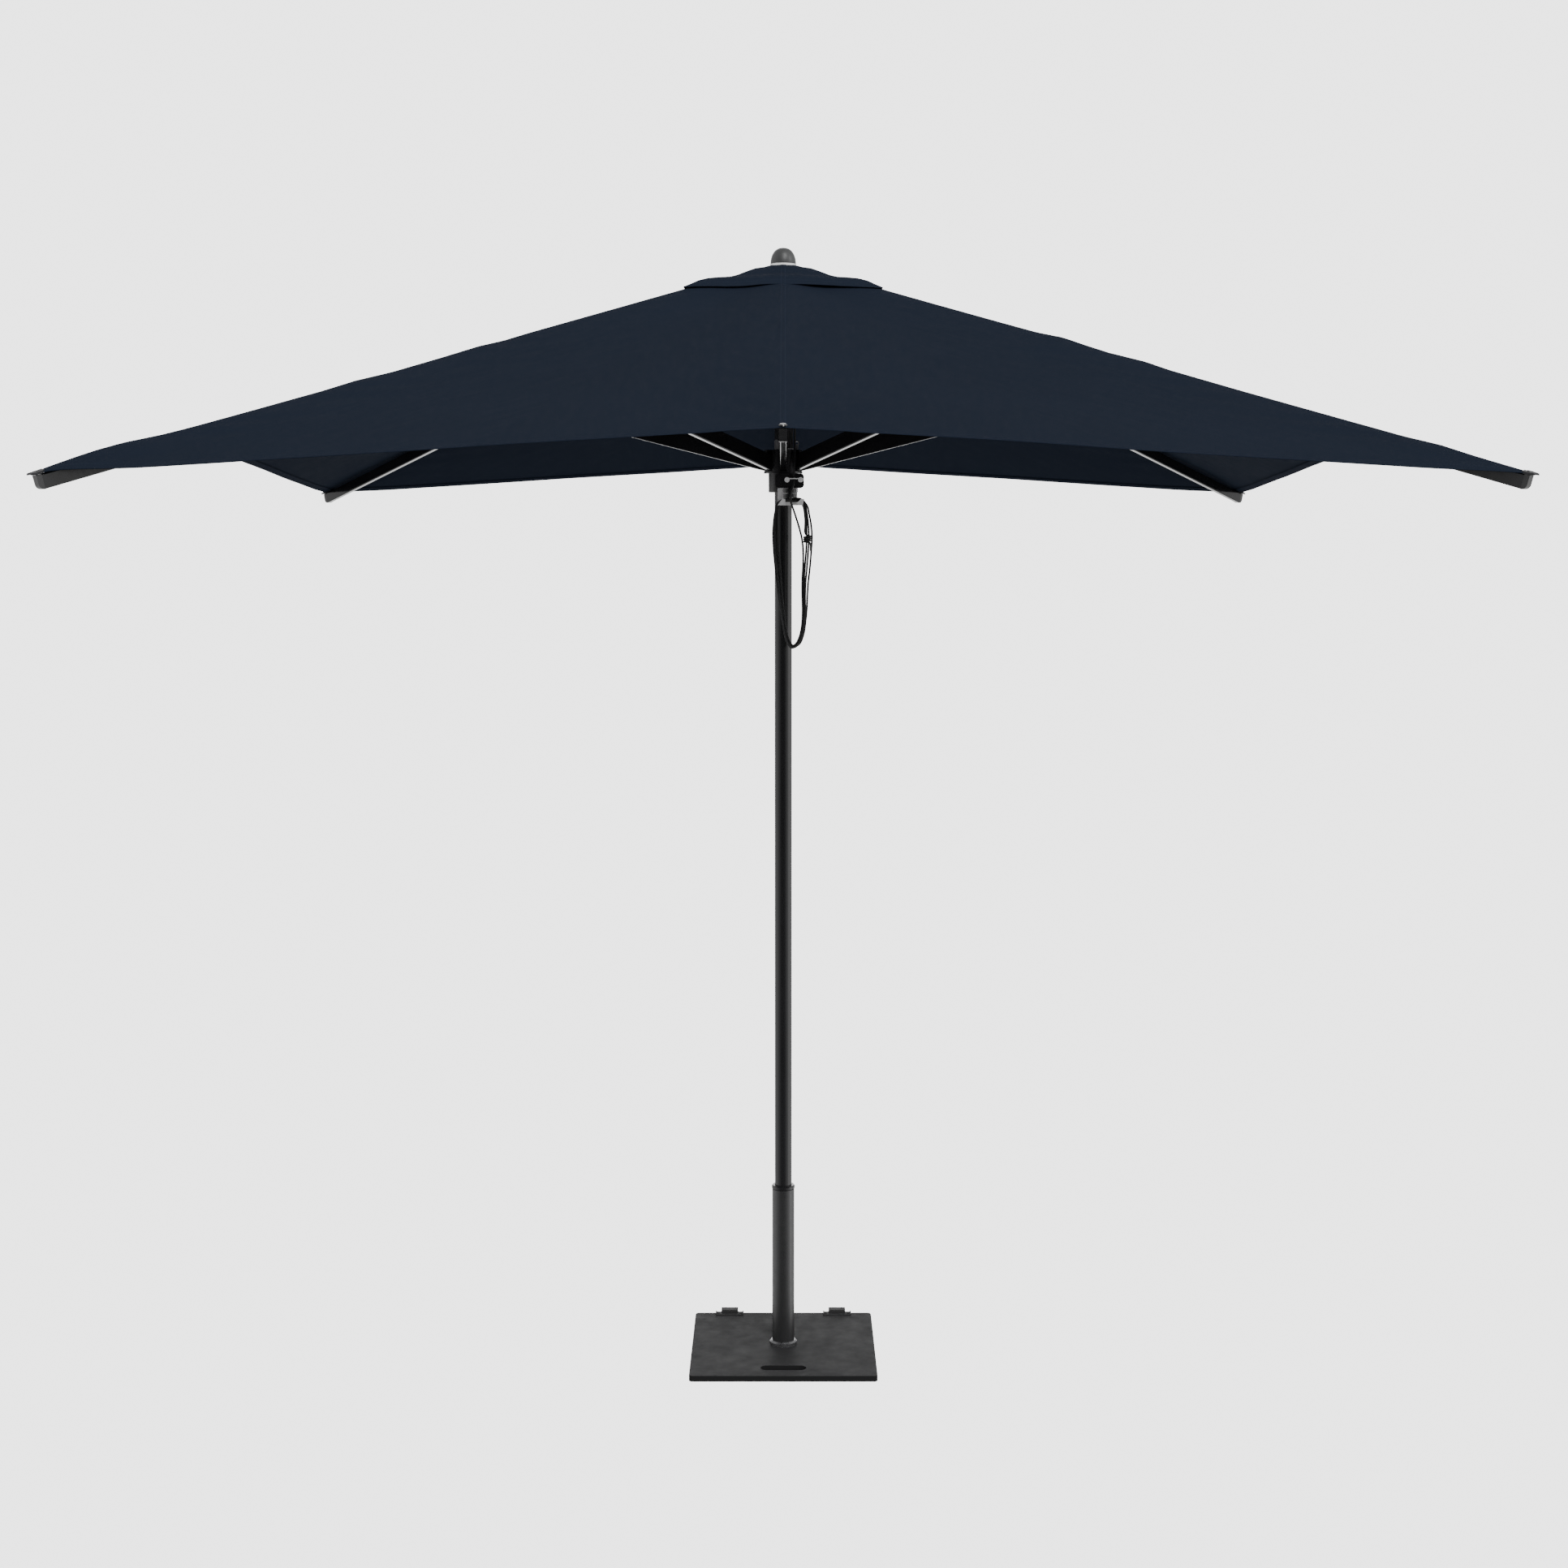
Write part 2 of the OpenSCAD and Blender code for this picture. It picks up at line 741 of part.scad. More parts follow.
// One sector of the square pyramid between two widths, as a closed sheet.
module sector(a, w0, w1, low, high) {
    angles = [a - 22.44, a, a + 22.44];
    points = [for (lift = [low, high]) for (share = [w0 / half, w1 / half]) for (b = angles)
        cloth_point(b, share, lift)];
    polyhedron(points, [[0, 3, 4, 1], [1, 4, 5, 2], [6, 7, 10, 9], [7, 8, 11, 10],
        [0, 1, 7, 6], [1, 2, 8, 7], [3, 9, 10, 4], [4, 10, 11, 5], [0, 6, 9, 3], [2, 5, 11, 8]]);
}

module canopy(i) {
    color([0.10, 0.13, 0.18])
        difference() {
            union() {
                sector(45 * i, opening_half, half, -cloth_t, 0);
                sector(45 * i, 36, vent_half, 2, 2 + cloth_t);
            }
            along_rib(45 * i, tilt_of(i))
                translate([rib_end(i) - 6, 0, 0])
                    cylinder(r = 3, h = 60);
        }
}

// ---------------------------------------------------------------- nodes

base_plate();
base_sleeve();
sleeve_foot_ring();
sleeve_bush();
wheel_brackets();
bracket_hardware();
roller(-1);  // roller_left
roller(1);  // roller_right
pole();
crown_hub();
crown_pins();
crown_sheave();
finial();
finial_ring();
top_patch();
rope_falls();
runner_hub();
runner_sleeve();
runner_pins();
runner_lugs();
cleat_body();
cam(cam_left_x, 0);  // cam_left
cam(cam_right_x, 180);  // cam_right
cleat_trim();
rope_spool();
hook_plate();
rope_coil();
rope_lead();
for (i = [0 : 7]) {
    rib(i);
    fittings(i);
    strut(i);
    canopy(i);
}
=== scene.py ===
"""Looks of a square market umbrella on its plate base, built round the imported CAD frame."""

import math

import bpy
import numpy as np
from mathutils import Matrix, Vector


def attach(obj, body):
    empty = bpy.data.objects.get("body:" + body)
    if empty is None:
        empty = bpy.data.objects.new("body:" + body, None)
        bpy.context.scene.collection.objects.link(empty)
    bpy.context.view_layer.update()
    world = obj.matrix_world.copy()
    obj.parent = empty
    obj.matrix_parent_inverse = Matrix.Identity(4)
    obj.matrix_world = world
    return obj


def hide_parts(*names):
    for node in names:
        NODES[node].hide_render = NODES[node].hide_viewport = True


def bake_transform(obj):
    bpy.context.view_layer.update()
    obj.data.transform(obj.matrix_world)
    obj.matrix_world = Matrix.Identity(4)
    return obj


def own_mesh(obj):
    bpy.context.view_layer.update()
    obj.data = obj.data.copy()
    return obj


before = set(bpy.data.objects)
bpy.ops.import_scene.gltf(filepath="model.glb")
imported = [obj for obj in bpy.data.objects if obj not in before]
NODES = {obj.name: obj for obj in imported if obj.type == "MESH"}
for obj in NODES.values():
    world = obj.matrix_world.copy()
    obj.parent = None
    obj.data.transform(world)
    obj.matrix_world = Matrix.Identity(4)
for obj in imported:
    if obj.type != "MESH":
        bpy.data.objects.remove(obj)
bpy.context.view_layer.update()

# ---------------------------------------------------------------- sizes, in metres
DIRECTIONS = ["right", "back_right", "back", "back_left", "left", "front_left", "front", "front_right"]
CORNERS = [(name, index) for index, name in enumerate(DIRECTIONS) if index % 2]
RIB_STEP = math.pi / 4  # angle from one rib to the next
APEX_Z = 2.936
RIM = 1.5
MIDDLE_FALL = 0.488  # how far the rim's middle lies under the apex
CORNER_FALL = 0.093  # how much lower the corners lie than the rim's middle
MAIN_INNER = 0.120  # half width of the opening that the vent cap covers
VENT_INNER = 0.036
VENT_RIM = 0.250
VENT_GAP = 0.0045
VENT_SETTLE = 0.0040  # how much lower the vent cap's rim lies away from its corners
SEAM_ROUND = 0.012
SEAM_RISE = 0.0008
SEAM_HALF = 0.007
CLOTH_LIFT = 0.0012
HEM_FOLD = 0.024
HEM_THICK = 0.0026
SAG = 0.011  # how far the cloth hangs between two ribs, halfway to the rim
BROAD_WAVE = 0.0042
CREASE_WAVE = 0.0030
VENT_FLUTTER = 0.0012
STITCH = 0.0045  # length of a stitch and its gap
YARN = 0.0011
THREAD = (0.0003, 0.0009)  # distances at which a line of stitching starts and stops fading
SEAM_STITCH = SEAM_HALF - 0.002
HEM_STITCH = HEM_FOLD - 0.004
ROPE_D = 0.005
BRAID_PITCH = 0.0052
PLATE_TOP = 0.016

# Height of the cloth over its flat panels along the four corner seams: (half width, lift). The front
# two follow the canopy's outline; the back two can't be seen from the front and are a free choice.
RIDGES = {
    "front_left": [
        (0.0, 0.0015), (0.3, 0.002), (0.6, 0.002), (0.655, 0.0008), (0.705, 0.004), (0.78, 0.002),
        (0.88, 0.001), (0.949, 0.0048), (1.01, 0.0028), (1.157, 0.0035), (1.25, 0.0045),
        (1.295, 0.0062), (1.36, 0.0122), (1.4, 0.0124), (1.427, 0.011), (1.478, 0.0065),
        (1.5, 0.002),
    ],
    "front_right": [
        (0.0, 0.0015), (0.33, 0.0015), (0.517, 0.0022), (0.6, 0.003), (0.655, 0.0082),
        (0.7, 0.005), (0.75, 0.003), (0.823, 0.0058), (0.87, 0.0024), (1.01, 0.0015),
        (1.157, 0.002), (1.295, 0.0028), (1.355, 0.0062), (1.41, 0.0034), (1.5, 0.002),
    ],
    "back_left": [
        (0.0, 0.0015), (0.42, 0.002), (0.58, 0.006), (0.68, 0.002), (0.96, 0.0028),
        (1.07, 0.0068), (1.16, 0.0024), (1.34, 0.0066), (1.44, 0.0042), (1.5, 0.002),
    ],
    "back_right": [
        (0.0, 0.0015), (0.35, 0.0042), (0.47, 0.0018), (0.76, 0.0026), (0.87, 0.0064),
        (0.95, 0.002), (1.2, 0.003), (1.31, 0.0072), (1.41, 0.0046), (1.5, 0.002),
    ],
}
RIDGE_SPREAD = 0.085
# Height of the vent cap over the flat panels, by half width.
VENT_WAVE = [
    (0.036, -0.0035), (0.05, -0.0035), (0.072, -0.0005), (0.09, -0.0015), (0.118, -0.0045),
    (0.140, -0.0035), (0.165, 0.0025), (0.19, 0.0075), (0.212, 0.0085), (0.235, 0.0045),
    (0.25, 0.0025),
]
# The main cloth dips where it ends under the vent cap.
MAIN_DIP = [(0.10, -0.0115), (0.135, -0.0105), (0.165, -0.0060), (0.2, -0.002), (0.24, 0.0)]


# ---------------------------------------------------------------- camera
LENS = 53.65
CAMERA_AT = (0.002, -6.220, 2.255)
CAMERA_PITCH = 83.655


def make_camera():
    data = bpy.data.cameras.new("camera")
    data.lens = LENS
    data.sensor_width = 36.0
    data.clip_start = 0.05
    data.clip_end = 200.0
    camera = bpy.data.objects.new("camera", data)
    camera.location = CAMERA_AT
    camera.rotation_euler = (math.radians(CAMERA_PITCH), 0.0, 0.0)
    bpy.context.scene.collection.objects.link(camera)
    bpy.context.scene.camera = camera


# ---------------------------------------------------------------- materials
def feed(tree, value, socket):
    """Sets a socket, or links it where the value is another node's output."""
    if isinstance(value, (int, float)):
        socket.default_value = value
    else:
        tree.links.new(value, socket)


def fill_ramp(ramp, stops):
    """Puts the stops, as (position, colour), on a colour ramp."""
    while len(ramp.elements) < len(stops):
        ramp.elements.new(0.5)
    for element, (place, colour) in zip(ramp.elements, stops):
        element.position = place
        element.color = (*colour, 1)


class Finish:
    """A Principled material with short calls for the textures that feed it."""

    def __init__(self, name, colour, roughness, metallic=0.0, source="Object", **sockets):
        self.material = bpy.data.materials.new(name)
        self.material.use_nodes = True
        self.tree = self.material.node_tree
        self.tree.nodes.clear()
        output = self.add("ShaderNodeOutputMaterial")
        self.bsdf = self.add("ShaderNodeBsdfPrincipled")
        self.join(self.bsdf.outputs["BSDF"], output.inputs["Surface"])
        self.colour = colour
        self.roughness = roughness
        self.bsdf.inputs["Base Color"].default_value = (*colour, 1)
        self.bsdf.inputs["Roughness"].default_value = roughness
        self.bsdf.inputs["Metallic"].default_value = metallic
        for key, value in sockets.items():
            self.bsdf.inputs[key.replace("_", " ")].default_value = value
        self.place = self.add("ShaderNodeTexCoord").outputs[source]
        self.normal = None

    def add(self, kind, **inputs):
        node = self.tree.nodes.new(kind)
        for key, value in inputs.items():
            node.inputs[key.replace("_", " ")].default_value = value
        return node

    def join(self, output, socket):
        self.tree.links.new(output, socket)

    def scaled(self, stretch):
        mapping = self.add("ShaderNodeMapping")
        mapping.inputs["Scale"].default_value = stretch
        self.join(self.place, mapping.inputs["Vector"])
        return mapping.outputs["Vector"]

    def noise(self, scale, detail=3.0, stretch=(1, 1, 1), rough=0.55):
        texture = self.add("ShaderNodeTexNoise", Scale=scale, Detail=detail, Roughness=rough)
        self.join(self.scaled(stretch), texture.inputs["Vector"])
        return texture.outputs["Fac"]

    def cells(self, scale):
        texture = self.add("ShaderNodeTexVoronoi", Scale=scale)
        self.join(self.place, texture.inputs["Vector"])
        return texture.outputs["Distance"]

    def split(self):
        """The three coordinates of the place that textures are read at."""
        node = self.add("ShaderNodeSeparateXYZ")
        self.join(self.place, node.inputs["Vector"])
        return node.outputs["X"], node.outputs["Y"], node.outputs["Z"]

    def wave(self, fac, length):
        return self.math("SINE", self.math("MULTIPLY", fac, 2 * math.pi / length))

    def math(self, operation, first, second=0.0, third=0.0):
        node = self.tree.nodes.new("ShaderNodeMath")
        node.operation = operation
        for socket, value in zip(node.inputs, (first, second, third)):
            feed(self.tree, value, socket)
        return node.outputs[0]

    def spread(self, fac, low, high, start=0.3, end=0.7):
        node = self.add("ShaderNodeMapRange")
        node.clamp = True
        for key, value in (("From Min", start), ("From Max", end), ("To Min", low), ("To Max", high)):
            node.inputs[key].default_value = value
        self.join(fac, node.inputs["Value"])
        return node.outputs["Result"]

    def tones(self, fac, stops):
        node = self.add("ShaderNodeValToRGB")
        fill_ramp(node.color_ramp, stops)
        self.join(fac, node.inputs["Fac"])
        return node.outputs["Color"]

    def shade(self, fac, darker, lighter, start=0.3, end=0.7):
        """Varies the base colour between two multiples of itself."""
        low = tuple(min(1, c * darker) for c in self.colour)
        high = tuple(min(1, c * lighter) for c in self.colour)
        self.join(self.tones(fac, [(start, low), (end, high)]), self.bsdf.inputs["Base Color"])

    def vary_roughness(self, fac, spread, start=0.3, end=0.7):
        low = max(0.02, self.roughness - spread)
        high = min(1, self.roughness + spread)
        self.join(self.spread(fac, low, high, start, end), self.bsdf.inputs["Roughness"])

    def bump(self, height, strength, distance):
        node = self.add("ShaderNodeBump", Strength=strength, Distance=distance)
        self.join(height, node.inputs["Height"])
        if self.normal is not None:
            self.join(self.normal, node.inputs["Normal"])
        self.normal = node.outputs["Normal"]
        self.join(self.normal, self.bsdf.inputs["Normal"])


def plate_paint():
    """Textured powder coat on the base plate, with faint rubbed patches and painted shade on every face
    below the top face, such as the front edge and the walls of the hand slot.
    """
    made = Finish("plate_powder_coat", (0.034, 0.034, 0.0350), 0.62, Specular_IOR_Level=0.06)
    patches = made.spread(made.noise(9.0, 5.0), 0.95, 1.0)
    # painted shade: below the top face the colour falls to 0.40 of itself, which darkens the plate's front
    # edge and the walls of its hand slot
    height = made.split()[2]
    top = made.spread(height, 0.0, 1.0, PLATE_TOP - 0.0014, PLATE_TOP - 0.0006)
    made.shade(made.math("MULTIPLY", patches, top), 0.40, 1.0, 0.0, 1.0)
    made.vary_roughness(made.noise(26.0, 4.0), 0.07)
    made.bump(made.noise(1500.0, 2.0), 0.20, 0.0004)
    made.bump(made.noise(240.0, 2.0), 0.08, 0.0006)
    return made.material


def tube_paint():
    """Satin black coat on the base's sleeve tube."""
    made = Finish("tube_satin_coat", (0.018, 0.018, 0.019), 0.34, Specular_IOR_Level=0.85)
    made.shade(made.noise(14.0, 4.0), 0.92, 1.1)
    made.vary_roughness(made.noise(60.0, 3.0), 0.05)
    made.bump(made.noise(1800.0, 2.0), 0.10, 0.0003)
    return made.material


def bracket_paint():
    """Matt powder coat on the roller brackets and their screws."""
    made = Finish("bracket_powder_coat", (0.030, 0.030, 0.031), 0.60, Specular_IOR_Level=0.10)
    made.shade(made.noise(20.0, 4.0), 0.92, 1.08)
    made.vary_roughness(made.noise(60.0, 3.0), 0.06)
    made.bump(made.noise(1500.0, 2.0), 0.12, 0.0003)
    return made.material


def ring_steel():
    """The weld ring at the sleeve's foot: bare steel under a thin dark coat."""
    made = Finish("foot_ring_steel", (0.14, 0.14, 0.145), 0.24, 0.75)
    made.shade(made.noise(60.0, 4.0, (1, 1, 6)), 0.6, 1.5)
    made.vary_roughness(made.noise(120.0, 3.0), 0.08)
    made.bump(made.noise(700.0, 2.0), 0.12, 0.0004)
    return made.material


def anodised():
    """Black anodised aluminium of the pole, drawn along its length."""
    made = Finish("black_anodised", (0.011, 0.011, 0.012), 0.22, Specular_IOR_Level=0.6)
    made.shade(made.noise(6.0, 4.0, (1, 1, 0.3)), 0.85, 1.2)
    made.vary_roughness(made.noise(40.0, 3.0, (3, 3, 0.4)), 0.05)
    made.bump(made.noise(900.0, 2.0, (1, 1, 0.05)), 0.05, 0.0002)
    return made.material


def rib_metal():
    """Gloss black coat on the ribs and struts."""
    made = Finish("rib_black_coat", (0.009, 0.009, 0.010), 0.16, Specular_IOR_Level=0.40)
    made.shade(made.noise(11.0, 4.0), 0.82, 1.22)
    made.vary_roughness(made.noise(90.0, 3.0), 0.05)
    made.bump(made.noise(1100.0, 2.0), 0.05, 0.0002)
    return made.material


def fitting_cast():
    """Fine sand-cast texture of the brackets and rib tips."""
    made = Finish("cast_fitting", (0.012, 0.012, 0.013), 0.26, Specular_IOR_Level=0.6)
    made.shade(made.noise(30.0, 4.0), 0.8, 1.25)
    made.vary_roughness(made.noise(160.0, 3.0), 0.07)
    made.bump(made.cells(900.0), 0.10, 0.0003)
    return made.material


def gloss_plastic():
    """Moulded black nylon with a light orange peel."""
    made = Finish("moulded_nylon", (0.010, 0.010, 0.011), 0.22, Specular_IOR_Level=0.7)
    made.shade(made.noise(20.0, 3.0), 0.8, 1.3)
    made.vary_roughness(made.noise(110.0, 3.0), 0.06)
    made.bump(made.noise(420.0, 2.0), 0.07, 0.0005)
    return made.material


def finial_lacquer():
    """Dark lacquered dome with a soft broad shine."""
    made = Finish("finial_lacquer", (0.040, 0.041, 0.042), 0.42, Specular_IOR_Level=0.6)
    made.shade(made.noise(24.0, 3.0), 0.85, 1.2)
    made.vary_roughness(made.noise(80.0, 3.0), 0.05)
    made.bump(made.noise(600.0, 2.0), 0.05, 0.0004)
    return made.material


def bright_steel():
    """Bright zinc plating with fine brushing."""
    made = Finish("zinc_plated_steel", (0.86, 0.86, 0.86), 0.36, 0.10)
    made.shade(made.noise(70.0, 4.0, (1, 1, 12)), 0.86, 1.12)
    made.vary_roughness(made.noise(300.0, 3.0, (1, 1, 14)), 0.08)
    made.bump(made.noise(1300.0, 2.0, (1, 1, 16)), 0.08, 0.0002)
    return made.material


def dull_steel():
    """Blasted stainless steel of the two small lugs."""
    made = Finish("blasted_stainless", (0.30, 0.30, 0.31), 0.34, 0.6)
    made.shade(made.noise(90.0, 4.0), 0.85, 1.15)
    made.vary_roughness(made.noise(240.0, 3.0), 0.06)
    made.bump(made.noise(1500.0, 2.0), 0.10, 0.0002)
    return made.material


def roller_rubber():
    """Moulded rubber of the rollers, dusty on its tread."""
    made = Finish("roller_rubber", (0.016, 0.016, 0.016), 0.72)
    made.shade(made.noise(90.0, 5.0), 0.7, 1.9)
    made.vary_roughness(made.noise(200.0, 3.0), 0.08)
    made.bump(made.noise(1200.0, 3.0), 0.3, 0.0005)
    return made.material


def stitching(made, distance, place, run):
    """A dashed line of thread where the distance has the given value."""
    line = made.math("ABSOLUTE", made.math("SUBTRACT", distance, place))
    dashes = made.spread(made.wave(run, STITCH), 0.0, 1.0, -0.5, 0.1)
    return made.math("MULTIPLY", made.spread(line, 1.0, 0.0, *THREAD), dashes)


def cloth_weave(name, colour, tint):
    """Solution-dyed canvas: a plain weave, with felled seams and a stitched hem.
    UV x is the distance from the seam over the rib and UV y the distance from the rim."""
    made = Finish(
        name, colour, 0.86, source="UV", Specular_IOR_Level=0.01, Sheen_Weight=0.004, Sheen_Roughness=0.6
    )
    made.bsdf.inputs["Sheen Tint"].default_value = (*tint, 1)
    across, along, _ = made.split()
    clouds = made.noise(2.6, 6.0)
    slubs = made.noise(60.0, 3.0, (1, 0.15, 1))
    mixed = made.math("MULTIPLY_ADD", slubs, 0.35, made.math("MULTIPLY", clouds, 0.65))
    seam = stitching(made, made.math("ABSOLUTE", across), SEAM_STITCH, along)
    hem = stitching(made, along, HEM_STITCH, across)
    thread = made.math("MAXIMUM", seam, hem)
    base = made.tones(
        mixed,
        [(0.32, tuple(c * 0.95 for c in colour)), (0.5, colour), (0.68, tuple(c * 1.05 for c in colour))],
    )
    blend = made.add("ShaderNodeMix")
    blend.data_type = "RGBA"
    made.join(made.math("MULTIPLY", thread, 0.55), blend.inputs[0])
    made.join(base, blend.inputs[6])
    blend.inputs[7].default_value = (*[min(1, c * 2.0) for c in colour], 1)
    made.join(blend.outputs[2], made.bsdf.inputs["Base Color"])
    made.vary_roughness(slubs, 0.05)
    weave = made.math("MULTIPLY", made.wave(across, YARN), made.wave(along, YARN))
    made.bump(weave, 0.16, 0.0003)
    made.bump(made.math("SUBTRACT", slubs, made.math("MULTIPLY", thread, 0.7)), 0.14, 0.0005)
    return made.material


def rope_braid():
    """Braided black cord, with painted shade in the grooves between its strands and painted highlights on
    their crests. UV x runs round the cord and UV y along it, in metres.
    """
    made = Finish(
        "braided_cord", (0.012, 0.012, 0.013), 0.66, source="UV", Specular_IOR_Level=0.45, Sheen_Weight=0.15
    )
    around, along, _ = made.split()
    turn = made.math("MULTIPLY", around, 2 * math.pi * 4)
    run = made.math("MULTIPLY", along, 2 * math.pi / BRAID_PITCH)
    left = made.math("SINE", made.math("ADD", run, turn))
    right = made.math("SINE", made.math("SUBTRACT", run, turn))
    strands = made.math("MULTIPLY", left, right)
    fuzz = made.noise(900.0, 2.0, (0.02, 1, 1))
    # painted shade and highlight: the colour follows the bump's strand pattern, darker in the grooves and
    # lighter on the crests
    made.shade(strands, 0.6, 1.7, 0.0, 1.0)
    made.vary_roughness(fuzz, 0.08)
    made.bump(strands, 0.6, 0.0005)
    return made.material


def webbing():
    """Black polyester webbing of the corner tabs."""
    made = Finish("tab_webbing", (0.012, 0.012, 0.014), 0.8, Sheen_Weight=0.2)
    made.shade(made.noise(260.0, 3.0, (1, 1, 0.2)), 0.7, 1.6)
    made.vary_roughness(made.noise(200.0, 2.0), 0.06)
    made.bump(made.noise(1400.0, 2.0, (1, 0.2, 1)), 0.4, 0.0004)
    return made.material


# ---------------------------------------------------------------- meshes
def new_object(name, points, faces, material, smooth=True):
    mesh = bpy.data.meshes.new(name)
    mesh.from_pydata([tuple(float(c) for c in p) for p in points], [], faces)
    mesh.validate()
    mesh.polygons.foreach_set("use_smooth", [smooth] * len(mesh.polygons))
    mesh.materials.append(material)
    made = bpy.data.objects.new(name, mesh)
    bpy.context.scene.collection.objects.link(made)
    return made


def set_uv(obj, uv):
    layer = obj.data.uv_layers.new(name="UVMap")
    loops = np.zeros(len(obj.data.loops), np.int32)
    obj.data.loops.foreach_get("vertex_index", loops)
    layer.data.foreach_set("uv", np.asarray(uv, np.float32)[loops].ravel())


def smooth_route(points, step):
    """A Catmull-Rom curve through the points, with points about step apart."""
    knots = np.asarray(points, float)
    ends = np.vstack([2 * knots[0] - knots[1], knots, 2 * knots[-1] - knots[-2]])
    fine = []
    for i in range(1, len(ends) - 2):
        p0, p1, p2, p3 = ends[i - 1 : i + 3]
        for t in np.linspace(0, 1, 12, endpoint=False):
            fine.append(
                0.5 * (2 * p1 + (p2 - p0) * t + (2 * p0 - 5 * p1 + 4 * p2 - p3) * t**2
                       + (3 * p1 - p0 - 3 * p2 + p3) * t**3)
            )
    fine = np.array(fine + [ends[-2]])
    return resample(fine, step)


def resample(line, step):
    reach = np.concatenate([[0], np.cumsum(np.linalg.norm(np.diff(line, axis=0), axis=1))])
    count = max(2, int(round(reach[-1] / step)) + 1)
    want = np.linspace(0, reach[-1], count)
    return np.stack([np.interp(want, reach, line[:, k]) for k in range(3)], 1)


def tube(name, route, radius, material, sides=10):
    """A round tube along the route with domed ends. UV x is the turn and UV y the metres along."""
    route = np.asarray(route, float)
    tangent = np.gradient(route, axis=0)
    tangent /= np.linalg.norm(tangent, axis=1)[:, None]
    side = np.cross(tangent[0], (0.31, 0.17, 0.93))
    side /= np.linalg.norm(side)
    points, uv, faces = [], [], []
    far = 0.0
    last = len(route) - 1
    for k, centre in enumerate(route):
        side = side - tangent[k] * side.dot(tangent[k])
        side /= np.linalg.norm(side)
        up = np.cross(tangent[k], side)
        far += 0 if k == 0 else float(np.linalg.norm(route[k] - route[k - 1]))
        for s in range(sides + 1):
            a = 2 * math.pi * s / sides
            points.append(centre + radius * (math.cos(a) * side + math.sin(a) * up))
            uv.append((s / sides, far))
        if k < last:
            row = k * (sides + 1)
            for s in range(sides):
                faces.append((row + s, row + s + 1, row + sides + 2 + s, row + sides + 1 + s))
    for k, way in ((0, -1), (last, 1)):
        tip = len(points)
        points.append(route[k] + tangent[k] * radius * 0.5 * way)
        uv.append((0.5, 0 if k == 0 else far))
        row = k * (sides + 1)
        for s in range(sides):
            faces.append((row + s + 1, row + s, tip) if way < 0 else (row + s, row + s + 1, tip))
    made = new_object(name, points, faces, material)
    set_uv(made, uv)
    return made


# ---------------------------------------------------------------- ropes
LEAD = [
    (0.03035, -0.0520, 2.4558), (0.0302, -0.0530, 2.4400), (0.0295, -0.0560, 2.4200),
    (0.0285, -0.0610, 2.4000), (0.0278, -0.0645, 2.3850), (0.0278, -0.0650, 2.3700),
    (0.0270, -0.0680, 2.3580), (0.0240, -0.0785, 2.3500), (0.0210, -0.0845, 2.3420),
    (0.0200, -0.0845, 2.3300), (0.0200, -0.0805, 2.3190), (0.0210, -0.0780, 2.3090),
    (0.0300, -0.0780, 2.2830), (0.0380, -0.0780, 2.2580), (0.0460, -0.0760, 2.2300),
    (0.0505, -0.0720, 2.2050), (0.0525, -0.0660, 2.1780),
]
RING = [
    (0.060, 2.150), (0.056, 2.092), (0.055, 2.019), (0.048, 1.965), (0.030, 1.934),
    (0.013, 1.950), (0.004, 1.990), (-0.005, 2.060), (-0.012, 2.139), (-0.017, 2.198),
    (-0.018, 2.247), (-0.016, 2.282), (-0.0105, 2.3065), (-0.003, 2.3145), (0.008, 2.3149),
    (0.020, 2.3149), (0.036, 2.3149), (0.047, 2.3133), (0.056, 2.302), (0.061, 2.276),
    (0.064, 2.240), (0.064, 2.205),
]
RING_Y = -0.058
RING_START = (0.005, 0.045)  # x where the ring's right half starts, and over what width
SLACK_HIGH = (2.296, 0.060)  # height where the loops start to spread, and over what height
SLACK_LOW = (2.000, 0.140)  # the same from below
NARROW_HIGH = 0.60  # how close the loops lie at the hook, as a share of their lanes
NARROW_LOW = 0.47
SHEAVE = (0.02325, -0.052, 2.845)
SHEAVE_R = 0.0071
FALL_FOOT = 2.456  # where the rope leaves the runner towards the sheave
FALL_END = 2.4528  # where it comes back down
FIXED_FALL = (-0.0602, 2.864)  # y and top of the single fall that is tied to the crown
# Each loop's lane: how far outward it hangs on the left and on the right side, and its depth.
LANES = [
    (-0.0040, -0.0076, -0.0028), (0.0002, -0.0026, 0.0028), (0.0044, 0.0028, -0.0028),
    (0.0086, 0.0108, 0.0028), (0.0086, -0.0060, -0.0050),
]
LOOPS = 3.872
TOP_SHARE = 0.70
LANE_CHANGE = 0.12  # share of a loop over which it moves to the next lane
WRAP_AT = (0.0632, -0.0582)
WRAP_R = 0.0088
WRAP_TOP = 2.2240
WRAP_PITCH = 0.0054
WRAP_TURNS = 2.9
WRAP_BEND = 0.013


def share_of(value):
    return min(1.0, max(0.0, value))


def smooth_step(value):
    value = share_of(value)
    return value * value * (3 - 2 * value)


def ring_line():
    """The closed line that the loops hang along, with points 1 mm apart."""
    around = [RING[-1]] + RING + RING[:2]
    fine = smooth_route([(x, 0.0, z) for x, z in around], 0.001)
    off = np.hypot(fine[:, 0] - RING[0][0], fine[:, 2] - RING[0][1])
    first = int(np.argmin(off[:200]))
    last = len(fine) - 200 + int(np.argmin(off[-200:]))
    return fine[first : last + 1]


